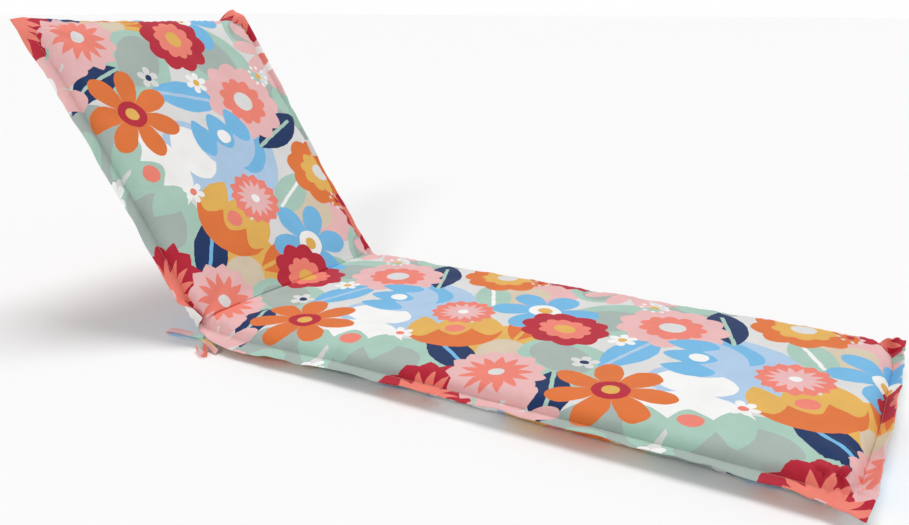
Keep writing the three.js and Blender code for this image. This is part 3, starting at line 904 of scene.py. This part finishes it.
class Spot:
    """A motif's own coordinates: 1 is its size, and they wrap round with the print's repeat."""

    def __init__(self, shader, cloth, u, v, size, turn):
        half = np.array(REPEAT) / 2
        low, high = (u - half[0], v - half[1], -1), (u + half[0], v + half[1], 1)
        wrapped = shader.vector("WRAP", cloth, high, low)
        place = shader.node("ShaderNodeMapping", {"vector_type": "TEXTURE"}, {
            "Vector": wrapped, "Location": (u, v, 0), "Rotation": (0, 0, math.radians(turn)),
            "Scale": (size, size, 1)})
        self.x = shader.node("ShaderNodeSeparateXYZ", {}, {0: place}, 0)
        self.y = Socket(shader, self.x.output.node.outputs[1])
        self.radius = shader.vector("LENGTH", place, output=1)
        self.angle = self.y.math("ARCTAN2", self.y, self.x)

    def lobes(self, count):
        """Round lobes about the middle: |cos(n a / 2)|, from 0 in a notch to 1 at a tip."""
        turned = self.angle * (count / 2)
        return abs(turned.math("COSINE", turned))

    def saw(self, count):
        """Pointed teeth about the middle, from 0 to 1."""
        turned = self.angle * (count / (2 * math.pi))
        return turned.math("PINGPONG", turned, 0.5) * 2


def pebble(spot, parts):
    """A round stone shape, flatter one way, with a smaller one set in it off its middle."""
    flat = spot.y * 1.35
    whole = spot.x * spot.x + flat * flat
    return [whole < 1, whole + spot.x * 0.5 < 0.32]


def leaf(spot, parts):
    """Two arcs that meet in points, with a rib down the middle that stops short of the tip."""
    edge = (1 - spot.x * spot.x) * 0.42
    height = abs(spot.y)
    return [height < edge, (height < 0.045) * (spot.x < 0.62) * (height < edge)]


def daisy(spot, parts):
    """Deeply notched round petals about a disc with a ring in it."""
    return [spot.radius < spot.lobes(parts) ** 0.55 * 0.72 + 0.28, spot.radius < 0.3, spot.radius < 0.14]


def rosette(spot, parts):
    """Three scalloped rounds, one in another."""
    lobes = spot.lobes(parts)
    return [spot.radius < lobes * 0.13 + 0.87, spot.radius < lobes * 0.1 + 0.5, spot.radius < 0.24]


def ruffle(spot, parts):
    """A toothed round, with a star of the same teeth and a small disc in it."""
    teeth = spot.saw(parts)
    return [spot.radius < teeth * 0.14 + 0.84, spot.radius < 0.72 - teeth * 0.3, spot.radius < 0.16]


def cup(spot, parts):
    """A half round below a row of arched petal tips, with a lower row in front of it."""
    tips = abs(spot.x.math("COSINE", spot.x * (math.pi * parts / 2)))
    bowl = spot.radius < 0.95
    return [bowl * (spot.y < tips * 0.42 + 0.28), bowl * (spot.y < tips * -0.34 - 0.02), spot.radius < 0.2]


def beads(spot, parts):
    """Dots in a ring about one dot."""
    arc = 1 - spot.lobes(parts)
    off = abs(spot.radius - 0.74)
    return [arc * 0.9 + off * 1.6 < 0.26, spot.radius < 0.26]


KINDS = {kind.__name__: kind for kind in (pebble, leaf, daisy, rosette, ruffle, cup, beads)}


def printed(shader, cloth):
    """The print at a place on the cloth in mm: every motif's parts painted over the ones before."""
    color = linear("off_white")
    for kind, u, v, size, turn, parts, names in MOTIFS:
        masks = KINDS[kind](Spot(shader, cloth, u, v, size, turn), parts)
        for mask, name in zip(masks, names.split()):
            color = shader.mix(mask, color, linear(name))
    return color


# The cloth's own surface: the weave's pitch, the unevenness of the print's edges, and its finish
WEAVE_MM = 0.75
PRINT_WOBBLE = 5
BUMP_MM = 0.12


def cloth_shader(name, paint):
    """Printed plain weave: two sets of threads in a bump, a faint mottle, and a soft sheen."""
    shader = Shader(name)
    uv = shader.node("ShaderNodeUVMap", {"uv_map": "cloth"}, {})
    flat = shader.vector("SCALE", uv)
    shader.feed(flat.output.node.inputs["Scale"], 1 / MM)
    wobble = shader.vector("SUBTRACT", shader.noise(flat, 0.045, output=1), (0.5, 0.5, 0.5))
    moved = shader.vector("MULTIPLY_ADD", wobble, (PRINT_WOBBLE, PRINT_WOBBLE, 0), flat)
    color = paint(shader, moved)

    x = shader.node("ShaderNodeSeparateXYZ", {}, {0: flat}, 0)
    y = Socket(shader, x.output.node.outputs[1])
    over = x.math("SINE", x * (2 * math.pi / WEAVE_MM))
    under = y.math("SINE", y * (2 * math.pi / WEAVE_MM))
    slubs = shader.noise(flat, 0.35, detail=3)
    height = over * under * 0.5 + slubs
    mottle = shader.noise(flat, 0.02, detail=4)
    shade = shader.node("ShaderNodeMapRange", {}, {0: mottle * 0.7 + slubs * 0.3, 1: 0.3, 2: 0.7, 3: 0.93, 4: 1.03})
    toned = shader.node("ShaderNodeHueSaturation", {}, {"Value": shade, "Color": color})
    bump = shader.node("ShaderNodeBump", {}, {"Strength": 0.5, "Distance": BUMP_MM * MM, "Height": height})
    shader.set(Base_Color=toned, Normal=bump, Roughness=mottle * 0.15 + 0.58, Sheen_Weight=0.04,
               Sheen_Roughness=0.5, Specular_IOR_Level=0.2)
    return shader.material


def zoned(slant, zones):
    """A paint of plain stretches that start at places along a ribbon, with slanting ends."""
    def paint(shader, cloth):
        x = shader.node("ShaderNodeSeparateXYZ", {}, {0: cloth}, 0)
        slanted = x + Socket(shader, x.output.node.outputs[1]) * slant
        color = linear(zones[0][1])
        for start, name in zones[1:]:
            color = shader.mix(slanted > start, color, linear(name))
        return color
    return paint


TIE_ZONES = {
    "tie_loop": (0.8, [(0, "sage"), (20, "light_pink"), (92, "pale_blue"), (158, "sage")]),
    "tie_curl": (0.8, [(0, "sage"), (12, "coral"), (62, "light_pink"), (84, "coral")]),
    "tie_tail": (-8, [(0, "ochre"), (8, "light_pink")]),
    "tie_knot": (0.8, [(0, "sage"), (44, "grey_sage")]),
}

pad.data.materials.append(cloth_shader("printed_cloth", printed))
for piece in [knot, *ribbons]:
    piece.data.materials.append(cloth_shader(piece.name, zoned(*TIE_ZONES[piece.name])))


def thread_shader():
    """Pale polyester thread, a little shinier than the cloth."""
    shader = Shader("thread")
    place = shader.node("ShaderNodeTexCoord", {}, {}, 3)
    twist = shader.noise(place, 1800, detail=1)
    shader.set(Base_Color=linear("sand"), Roughness=twist * 0.2 + 0.45)
    return shader.material


thread = thread_shader()
for row in stitches:
    row.data.materials.append(thread)


# A broad soft light from overhead, a weaker one from the near side that brings out the folds, and
# a surround that is brightest at the horizon
LIGHTS = {
    "overhead": {"strength": 1.55, "spread": 34, "from": (0.02, 0.34, 1)},
    "near": {"strength": 0.6, "spread": 14, "from": (0.1, -1, 0.62)},
}
SURROUND = [(0.0, (0.9, 0.9, 0.9, 1)), (0.53, (1, 1, 1, 1)), (0.6, (0.5, 0.5, 0.5, 1)), (1.0, (0.44, 0.44, 0.44, 1))]


def make_lights():
    for name, row in LIGHTS.items():
        data = bpy.data.lights.new(name, "SUN")
        data.energy, data.angle = row["strength"], math.radians(row["spread"])
        light = bpy.data.objects.new(name, data)
        light.rotation_mode = "QUATERNION"
        light.rotation_quaternion = Vector(row["from"]).to_track_quat("Z", "Y")
        bpy.context.scene.collection.objects.link(light)


def make_stage():
    """A wide pale floor that runs into an equally pale surround."""
    half = 60
    floor = new_mesh("floor", [(-half, -half, 0), (half, -half, 0), (half, half, 0), (-half, half, 0)],
                     [(0, 1, 2, 3)])
    shader = Shader("floor")
    shader.set(Base_Color=(0.93, 0.93, 0.93, 1), Roughness=0.9, Specular_IOR_Level=0.1)
    floor.data.materials.append(shader.material)

    world = bpy.data.worlds.new("studio")
    world.use_nodes = True
    nodes, links = world.node_tree.nodes, world.node_tree.links
    direction = nodes.new("ShaderNodeTexCoord")
    height = nodes.new("ShaderNodeSeparateXYZ")
    scaled = nodes.new("ShaderNodeMapRange")
    scaled.inputs["From Min"].default_value = -1
    ramp = nodes.new("ShaderNodeValToRGB")
    for element, (place, color) in zip(ramp.color_ramp.elements, SURROUND):
        element.position, element.color = place, color
    for place, color in SURROUND[2:]:
        ramp.color_ramp.elements.new(place).color = color
    links.new(direction.outputs["Generated"], height.inputs[0])
    links.new(height.outputs["Z"], scaled.inputs["Value"])
    links.new(scaled.outputs["Result"], ramp.inputs["Fac"])
    links.new(ramp.outputs["Color"], nodes["Background"].inputs["Color"])
    bpy.context.scene.world = world
    bpy.context.scene.view_settings.view_transform = "Standard"


make_lights()
make_stage()
